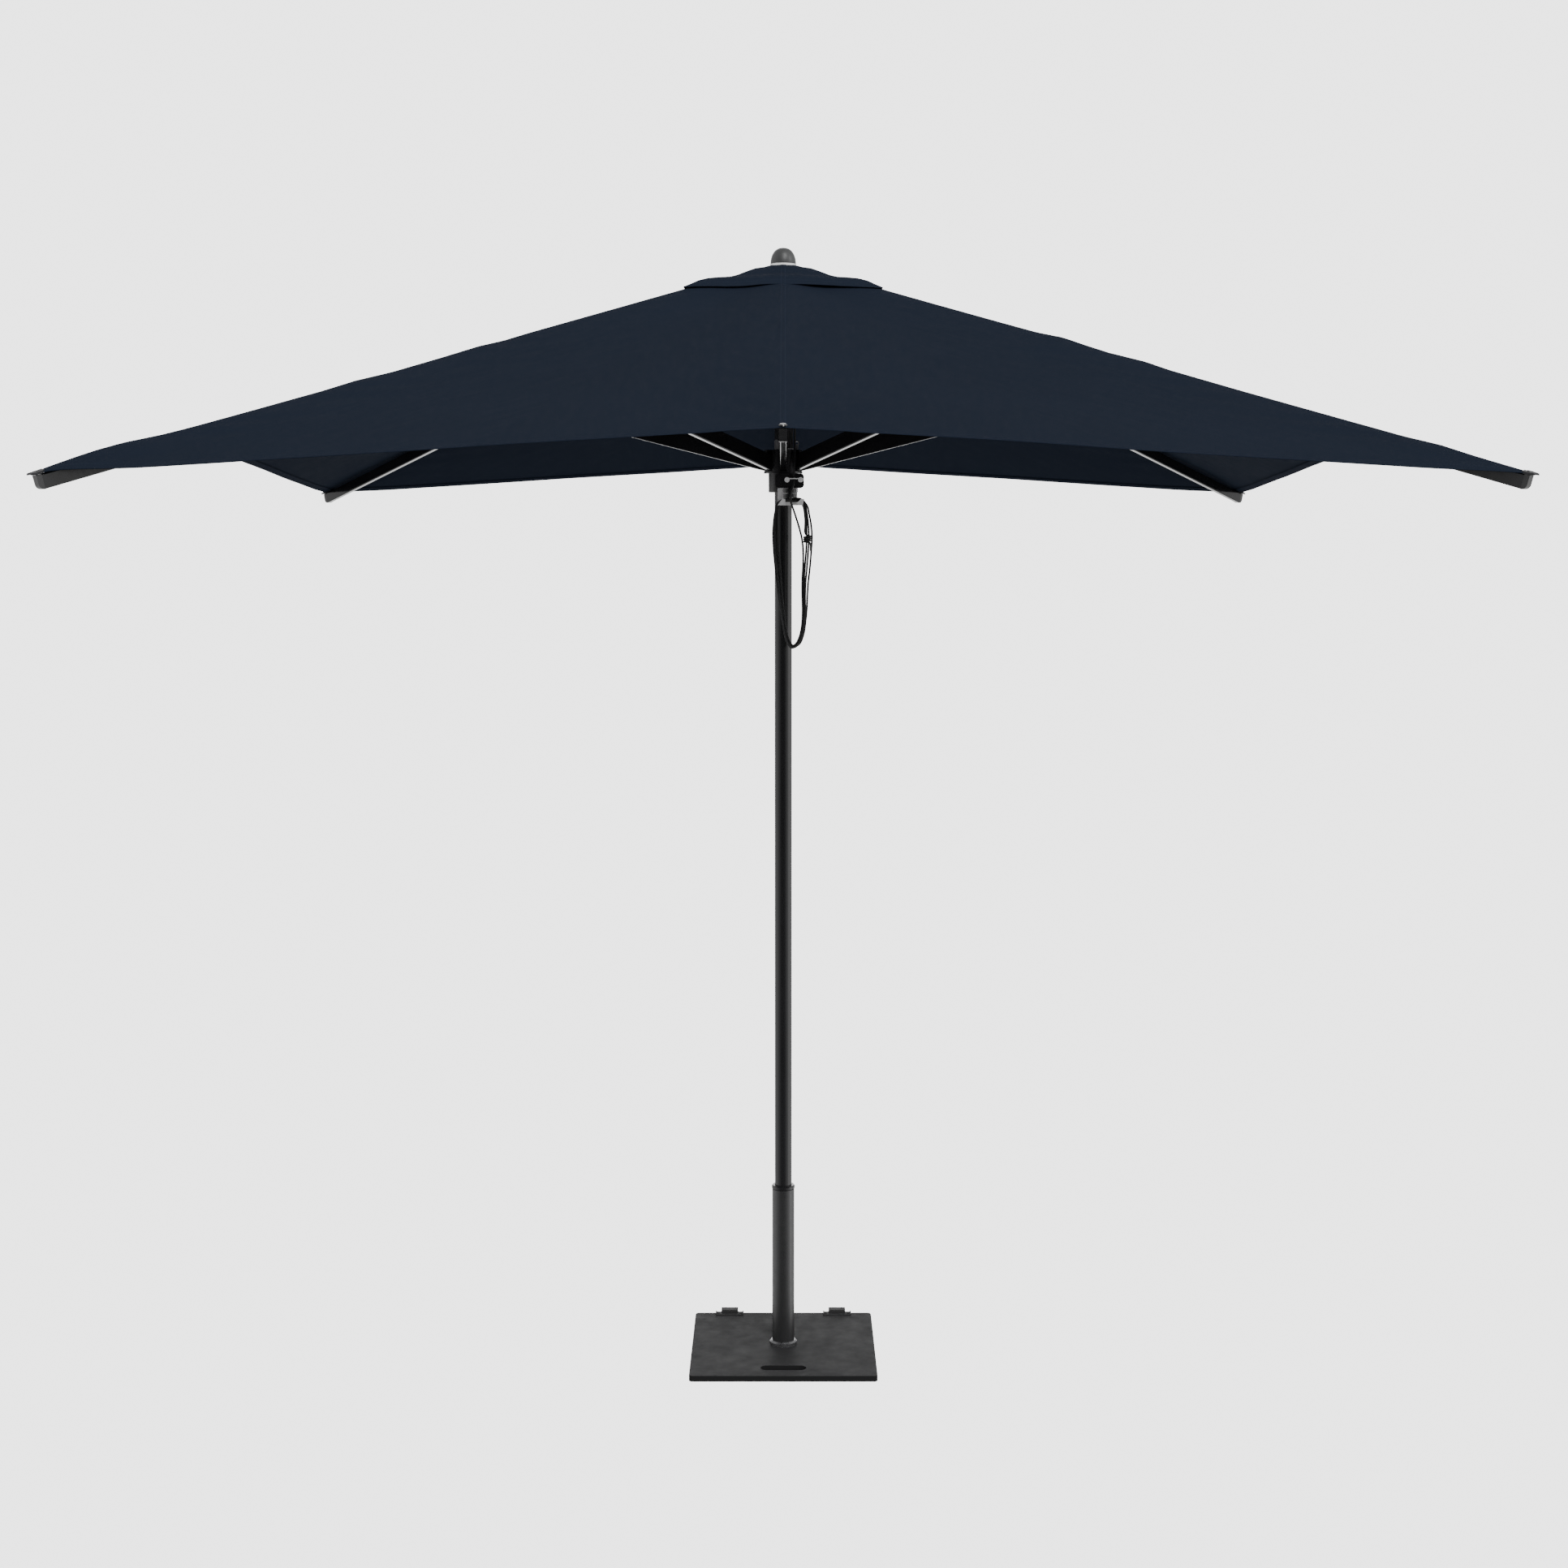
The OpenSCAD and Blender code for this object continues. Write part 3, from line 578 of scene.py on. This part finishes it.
def ring_point(line, turn):
    """A point of the hanging loops: turn counts loops, and each loop keeps its own lane."""
    count = len(line) - 1
    place = (turn % 1.0) * count
    low = int(place)
    here = line[low] + (line[low + 1] - line[low]) * (place - low)
    run = line[(low + 6) % count] - line[(low - 5) % count]
    run /= np.linalg.norm(run)
    phase = turn + 1 - TOP_SHARE
    lane = sum(smooth_step((phase - k) / LANE_CHANGE + 0.5) for k in range(1, len(LANES)))
    left, right, depth = (float(np.interp(lane, range(len(LANES)), values)) for values in zip(*LANES))
    share = share_of((here[0] - RING_START[0]) / RING_START[1])
    slack = share_of(min((SLACK_HIGH[0] - here[2]) / SLACK_HIGH[1], (here[2] - SLACK_LOW[0]) / SLACK_LOW[1]))
    narrow = NARROW_HIGH if here[2] > 2.2 else NARROW_LOW
    radial = (left * (1 - share) + right * share) * (narrow + (1 - narrow) * slack)
    return (here[0] - run[2] * radial, RING_Y + depth, here[2] + run[0] * radial)


def wrap_points():
    """The rope's end, wound round the other loops: down, round and down again on one cylinder."""
    start = math.radians(223)
    flat = [(0.0, 0.0)]
    for a in np.linspace(0, math.pi / 2, 7)[1:]:
        flat.append((WRAP_BEND * (1 - math.cos(a)), -WRAP_BEND * math.sin(a)))
    round_length = 2 * math.pi * WRAP_R
    first = flat[-1]
    for k in np.linspace(0, WRAP_TURNS, int(WRAP_TURNS * 14))[1:]:
        flat.append((first[0] + k * round_length, first[1] - k * WRAP_PITCH))
    first = flat[-1]
    for a in np.linspace(0, math.pi / 2, 7)[1:]:
        flat.append((first[0] + WRAP_BEND * math.sin(a), first[1] - WRAP_BEND * (1 - math.cos(a))))
    flat.append((flat[-1][0], flat[-1][1] - 0.010))
    return [
        (WRAP_AT[0] + WRAP_R * math.cos(start + s / WRAP_R),
         WRAP_AT[1] + WRAP_R * math.sin(start + s / WRAP_R), WRAP_TOP + WRAP_BEND + z)
        for s, z in flat
    ]


def rope_route():
    line = ring_line()
    loops = [ring_point(line, t) for t in np.arange(0.0, LOOPS, 1 / 44)]
    return smooth_route(LEAD + loops + wrap_points(), 0.0035)


def make_ropes(braid):
    route = rope_route()
    hauling = tube("hauling_rope", route, ROPE_D / 2, braid)
    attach(hauling, "runner")
    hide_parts("rope_lead", "rope_coil")
    middle, y, top = SHEAVE
    over = [(middle + SHEAVE_R, y, z) for z in np.linspace(FALL_FOOT, top - 0.002, 60)]
    over += [
        (middle + SHEAVE_R * math.cos(a), y, top + SHEAVE_R * math.sin(a))
        for a in np.linspace(0, math.pi, 14)
    ]
    over += [(middle - SHEAVE_R, y, z) for z in np.linspace(top - 0.002, FALL_END, 60)]
    single = [(middle, FIXED_FALL[0], z) for z in np.linspace(FALL_END, FIXED_FALL[1], 64)]
    for name, line in (("fall_over_sheave", over), ("fall_to_crown", single)):
        fall = tube(name, line, ROPE_D / 2, braid)
        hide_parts("rope_falls")
        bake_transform(fall)


# ---------------------------------------------------------------- cloth
def fold_angle(x, y):
    """0 over a rib and 1 halfway between two ribs."""
    degrees = np.degrees(np.arctan2(y, x))
    return np.abs((degrees + 22.5) % 45.0 - 22.5) / 22.5


def rib_sides(x, y):
    """Distance from the nearest rib's plane, and along that rib."""
    turn = np.round(np.degrees(np.arctan2(y, x)) / 45.0) * math.pi / 4
    return -x * np.sin(turn) + y * np.cos(turn), x * np.cos(turn) + y * np.sin(turn)


def flat_panels(x, y):
    """Height of the pyramid's flat panels, with rounded edges."""
    a = np.sqrt(x * x + SEAM_ROUND**2)
    b = np.sqrt(y * y + SEAM_ROUND**2)
    gap = np.sqrt((a - b) ** 2 + SEAM_ROUND**2)
    return APEX_Z - (MIDDLE_FALL * (a + b + gap) / 2 + CORNER_FALL * (a + b - gap) / 2) / RIM


RNG = np.random.default_rng(20)
WAVES = [
    (float(RNG.uniform(5, 11)), float(RNG.uniform(0, math.pi)), float(RNG.uniform(0, 6.28)))
    for _ in range(9)
]
CREASES = [
    (float(RNG.uniform(34, 70)), float(RNG.uniform(-0.45, 0.45)), float(RNG.uniform(0, 6.28)))
    for _ in range(7)
]


def seam_rise(x, y):
    """The felled seam over a rib stands a little higher than the cloth."""
    across = rib_sides(x, y)[0]
    return SEAM_RISE / (1 + np.exp((np.abs(across) - SEAM_HALF) / 0.0008))


def main_height(x, y):
    """Height of the main cloth: panels, sag between the ribs, waves, creases and corner ridges."""
    half = np.maximum(np.abs(x), np.abs(y))
    share = half / RIM
    across, along = rib_sides(x, y)
    between = np.sin(math.pi / 2 * fold_angle(x, y)) ** 2
    z = flat_panels(x, y) + CLOTH_LIFT
    z = z - SAG * between * np.sin(math.pi * np.clip(share, 0, 1)) ** 0.9
    broad = sum(np.sin(k * (x * math.cos(a) + y * math.sin(a)) + p) for k, a, p in WAVES) / len(WAVES)
    z = z + BROAD_WAVE * broad * between * share**0.5
    crease = sum(
        np.sin(k * (along * math.cos(a) + np.abs(across) * (1.1 + math.sin(a))) + p) for k, a, p in CREASES
    ) / len(CREASES)
    near = np.exp(-((np.abs(across) / 0.16) ** 2)) * (1 - np.exp(-((across / 0.03) ** 2)))
    z = z + CREASE_WAVE * crease * near * np.clip(share * 1.5, 0, 1)
    for name, turn in CORNERS:
        a = turn * RIB_STEP
        side = -x * math.sin(a) + y * math.cos(a)
        ahead = x * math.cos(a) + y * math.sin(a)
        table = np.array(RIDGES[name])
        lift = np.interp(ahead / math.sqrt(2), table[:, 0], table[:, 1])
        z = z + np.where(ahead > 0, lift * np.exp(-((side / RIDGE_SPREAD) ** 2)), 0)
    dip = np.array(MAIN_DIP)
    z = z + np.interp(half, dip[:, 0], dip[:, 1])
    return z + seam_rise(x, y)


def vent_height(x, y):
    """Height of the vent cap: it flutters towards its rim and settles away from its corners."""
    half = np.maximum(np.abs(x), np.abs(y))
    wave = np.array(VENT_WAVE)
    z = flat_panels(x, y) + CLOTH_LIFT + VENT_GAP + np.interp(half, wave[:, 0], wave[:, 1])
    around = np.arctan2(y, x)
    flutter = np.sin(5 * around + 0.7) + 0.6 * np.sin(11 * around + 2.1) + 0.4 * np.sin(17 * around)
    rise = np.clip((half - 0.12) / 0.13, 0, 1) ** 1.5
    z = z + VENT_FLUTTER * flutter * rise
    off_corner = np.clip((np.abs(np.abs(x) - np.abs(y)) / half - 0.12) / 0.3, 0, 1)
    z = z - VENT_SETTLE * rise * off_corner
    return z + seam_rise(x, y)


def slopes(height, x, y):
    """Upward normals of a height function."""
    d = 0.0006
    nx = -(height(x + d, y) - height(x - d, y)) / (2 * d)
    ny = -(height(x, y + d) - height(x, y - d)) / (2 * d)
    n = np.stack([nx, ny, np.ones_like(nx)], 1)
    return n / np.linalg.norm(n, axis=1)[:, None]


def gore(name, index, inner, rim, height, rows, columns, material):
    """One continuous sector of a cap, 22.5 degrees to each side of a rib, with its rim turned under."""
    rib = index * RIB_STEP
    u = np.linspace(-1, 1, columns + 1)
    angles = rib + np.sign(u) * np.abs(u) ** 1.5 * math.pi / 8
    half = inner + (rim - inner) * np.linspace(0, 1, rows + 1)
    edge = [(rim + 0.0010, -HEM_THICK / 2), (rim, -HEM_THICK), (rim - HEM_FOLD, -HEM_THICK)]
    fold = np.abs((angles + RIB_STEP) % (2 * RIB_STEP) - RIB_STEP)
    points, normals, uv = [], [], []
    for m, drop in [(h, 0.0) for h in half] + edge:
        r = m / np.cos(fold)
        x, y = r * np.cos(angles), r * np.sin(angles)
        n = slopes(height, x, y)
        if drop < 0:
            n = -n if drop <= -HEM_THICK else np.stack([np.cos(angles), np.sin(angles), 0 * x], 1)
        points.append(np.stack([x, y, height(x, y) + drop], 1))
        normals.append(n)
        across = -x * math.sin(rib) + y * math.cos(rib)
        uv.append(np.stack([across, np.full_like(x, rim - m)], 1))
    wide = columns + 1
    corners = [r * wide + c for r in range(len(points) - 1) for c in range(columns)]
    faces = [(p, p + wide, p + wide + 1, p + 1) for p in corners]
    made = new_object(name, np.concatenate(points), faces, material)
    set_uv(made, np.concatenate(uv))
    made.data.normals_split_custom_set_from_vertices(np.concatenate(normals).tolist())
    return made


def make_canopy(cloth):
    for index, direction in enumerate(DIRECTIONS):
        main = gore(f"canopy_cloth_{direction}", index, MAIN_INNER, RIM, main_height, 96, 44, cloth)
        vent = gore(f"vent_cloth_{direction}", index, VENT_INNER, VENT_RIM, vent_height, 30, 28, cloth)
        for piece, inner, rim in ((main, MAIN_INNER, RIM), (vent, VENT_INNER, VENT_RIM)):
            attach(piece, f"rib_{direction}")
            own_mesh(piece)
        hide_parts(f"canopy_{direction}")


# A corner tab's outline: (distance past the cloth's corner, height over the cloth, thickness).
TAB_PROFILE = [
    (-0.016, 0.0012, 0.0050), (-0.004, 0.0019, 0.0048), (0.004, 0.0025, 0.0044), (0.011, 0.0025, 0.0040),
]
TAB_HALF = 0.013
TAB_TAPER = 0.003  # how much narrower its end is, on each side
TAB_SLOPE = 0.19  # its two halves fall to the sides
TAB_LANES = 6


def make_tabs(material):
    """A short webbing tab over each corner rib's tip, sewn to the cloth's corner."""
    for direction, index in CORNERS:
        a = index * RIB_STEP
        out = np.array([math.cos(a), math.sin(a), 0.0])
        side = np.array([-math.sin(a), math.cos(a), 0.0])
        reach = RIM * math.sqrt(2)
        profile = []
        for past, lift, thick in TAB_PROFILE:
            x, y = (out * (reach + past))[:2]
            z = float(main_height(np.array([x * 0.999]), np.array([y * 0.999]))[0]) + lift
            profile.append((reach + past, z, thick))
        points, faces = [], []
        for layer in (0, 1):
            for k, (r, z, thick) in enumerate(profile):
                half = TAB_HALF - (TAB_TAPER if k == len(profile) - 1 else 0.0)
                for c in range(TAB_LANES + 1):
                    w = -half + 2 * half * c / TAB_LANES
                    up = np.array([0, 0, z - layer * thick - abs(w) * TAB_SLOPE])
                    points.append(out * r + side * w + up)
        width, rows = TAB_LANES + 1, len(profile)
        low = width * rows
        for k in range(rows - 1):
            for c in range(TAB_LANES):
                p = k * width + c
                faces.append((p, p + width, p + width + 1, p + 1))
                faces.append((low + p, low + p + 1, low + p + width + 1, low + p + width))
        for k in range(rows - 1):
            for c, flip in ((0, False), (TAB_LANES, True)):
                p = k * width + c
                face = (p, low + p, low + p + width, p + width)
                faces.append(face[::-1] if flip else face)
        for c in range(TAB_LANES):
            for row, flip in ((0, True), (rows - 1, False)):
                p = row * width + c
                face = (p, low + p, low + p + 1, p + 1)
                faces.append(face if flip else face[::-1])
        tab = new_object(f"corner_tab_{direction}", points, faces, material, smooth=False)
        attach(tab, f"rib_{direction}")


# ---------------------------------------------------------------- finishes on the CAD nodes
def dress(obj, material):
    obj.data.materials.clear()
    obj.data.materials.append(material)


def dress_frame(cloth):
    finishes = [
        (plate_paint(), ["base_plate"]),
        (tube_paint(), ["base_sleeve"]),
        (bracket_paint(), ["wheel_brackets", "bracket_hardware"]),
        (ring_steel(), ["sleeve_foot_ring"]),
        (anodised(), ["pole"]),
        (rib_metal(), ["rib_", "strut_"]),
        (fitting_cast(), ["fittings_"]),
        (gloss_plastic(), ["sleeve_bush", "crown_hub", "runner_hub", "runner_sleeve", "cleat_body",
                           "cam_left", "cam_right", "rope_spool"]),
        (finial_lacquer(), ["finial"]),
        (bright_steel(), ["crown_pins", "crown_sheave", "finial_ring", "runner_pins", "cleat_trim",
                          "hook_plate"]),
        (dull_steel(), ["runner_lugs"]),
        (roller_rubber(), ["roller_left", "roller_right"]),
        (cloth, ["top_patch"]),
    ]
    for material, names in finishes:
        for node, obj in NODES.items():
            if any(node == n or (n.endswith("_") and node.startswith(n)) for n in names):
                dress(obj, material)


# ---------------------------------------------------------------- studio
BACKDROP = 3.25  # what the camera sees of the floor and the walls
FLOOR_FILL = 0.50  # what the floor sends up into the object
CEILING = 0.42
FRONT_FILL = 1.5  # soft light from the camera's side
SIDE_FILL = 0.40
FLOOR_SIZE = 14.0
# Brightness of the room's walls by azimuth in degrees: dark behind the camera, a tall box at the right.
ROOM = [
    (-180, 1.10), (-150, 0.55), (-115, 0.06), (-70, 0.08), (-50, 0.50), (-29, 0.90), (-14, 1.5),
    (-2, 2.2), (11, 1.0), (60, 0.9), (80, 2.8), (100, 2.8), (125, 1.0), (150, 0.80), (180, 1.10),
]


def seen_by(tree, camera, gloss, rest):
    """A strength that differs for camera rays, glossy rays and all others."""
    rays = tree.nodes.new("ShaderNodeLightPath")
    last = rest
    for key, value in (("Is Glossy Ray", gloss), ("Is Camera Ray", camera)):
        mix = tree.nodes.new("ShaderNodeMix")
        tree.links.new(rays.outputs[key], mix.inputs["Factor"])
        feed(tree, last, mix.inputs["A"])
        feed(tree, value, mix.inputs["B"])
        last = mix.outputs["Result"]
    return last


def room_walls(tree, where):
    """The room's brightness by the azimuth of a direction or of a place on the floor."""
    around = tree.nodes.new("ShaderNodeTexGradient")
    around.gradient_type = "RADIAL"
    tree.links.new(where, around.inputs["Vector"])
    walls = tree.nodes.new("ShaderNodeValToRGB")
    fill_ramp(walls.color_ramp, [((azimuth + 180) / 360, (level,) * 3) for azimuth, level in ROOM])
    tree.links.new(around.outputs["Fac"], walls.inputs["Fac"])
    return walls.outputs["Color"]


def make_floor():
    """A floor that glows like the backdrop, so that the two meet without a line."""
    size = FLOOR_SIZE
    mesh = bpy.data.meshes.new("studio_floor")
    corners = [(-size, -size, 0), (size, -size, 0), (size, size * 3, 0), (-size, size * 3, 0)]
    mesh.from_pydata(corners, [], [(0, 1, 2, 3)])
    floor = bpy.data.objects.new("studio_floor", mesh)
    bpy.context.scene.collection.objects.link(floor)
    material = bpy.data.materials.new("studio_floor")
    material.use_nodes = True
    tree = material.node_tree
    tree.nodes.clear()
    output = tree.nodes.new("ShaderNodeOutputMaterial")
    glow = tree.nodes.new("ShaderNodeEmission")
    gloss = room_walls(tree, tree.nodes.new("ShaderNodeTexCoord").outputs["Object"])
    tree.links.new(seen_by(tree, BACKDROP, gloss, FLOOR_FILL), glow.inputs["Strength"])
    tree.links.new(glow.outputs[0], output.inputs["Surface"])
    mesh.materials.append(material)


def make_world():
    """A backdrop that is even to the camera, and a room that is darker on the camera's side."""
    world = bpy.data.worlds.new("studio")
    world.use_nodes = True
    tree = world.node_tree
    background = tree.nodes["Background"]
    background.inputs["Color"].default_value = (1, 1, 1, 1)
    where = tree.nodes.new("ShaderNodeTexCoord").outputs["Generated"]
    walls = room_walls(tree, where)
    split = tree.nodes.new("ShaderNodeSeparateXYZ")
    tree.links.new(where, split.inputs["Vector"])
    height = tree.nodes.new("ShaderNodeMapRange")
    height.inputs["From Min"].default_value = 0.45
    height.inputs["From Max"].default_value = 0.85
    tree.links.new(split.outputs["Z"], height.inputs["Value"])
    room = tree.nodes.new("ShaderNodeMix")
    tree.links.new(height.outputs["Result"], room.inputs["Factor"])
    tree.links.new(walls, room.inputs["A"])
    room.inputs["B"].default_value = CEILING
    front = tree.nodes.new("ShaderNodeMapRange")
    for key, value in (("From Min", 0.1), ("From Max", -0.7), ("To Min", SIDE_FILL), ("To Max", FRONT_FILL)):
        front.inputs[key].default_value = value
    tree.links.new(split.outputs["Y"], front.inputs["Value"])
    fill = tree.nodes.new("ShaderNodeMix")
    tree.links.new(height.outputs["Result"], fill.inputs["Factor"])
    tree.links.new(front.outputs["Result"], fill.inputs["A"])
    fill.inputs["B"].default_value = CEILING
    strength = seen_by(tree, BACKDROP, room.outputs["Result"], fill.outputs["Result"])
    tree.links.new(strength, background.inputs["Strength"])
    bpy.context.scene.world = world


def sun(name, azimuth, elevation, strength, softness):
    """A distant light from the given direction; softness is its width in degrees."""
    data = bpy.data.lights.new(name, "SUN")
    data.energy = strength
    data.angle = math.radians(softness)
    light = bpy.data.objects.new(name, data)
    a, e = math.radians(azimuth), math.radians(elevation)
    toward = Vector((math.cos(e) * math.cos(a), math.cos(e) * math.sin(a), math.sin(e)))
    light.rotation_euler = (-toward).to_track_quat("-Z", "Y").to_euler()
    bpy.context.scene.collection.objects.link(light)


make_camera()
make_ropes(rope_braid())
CLOTH = cloth_weave("navy_canvas", (0.0135, 0.0182, 0.0300), (0.45, 0.5, 0.62))
make_canopy(CLOTH)
make_tabs(webbing())
dress_frame(CLOTH)
make_world()
make_floor()
sun("key_light", azimuth=-72, elevation=42, strength=1.7, softness=20)
sun("side_light", azimuth=-20, elevation=25, strength=0.35, softness=6)
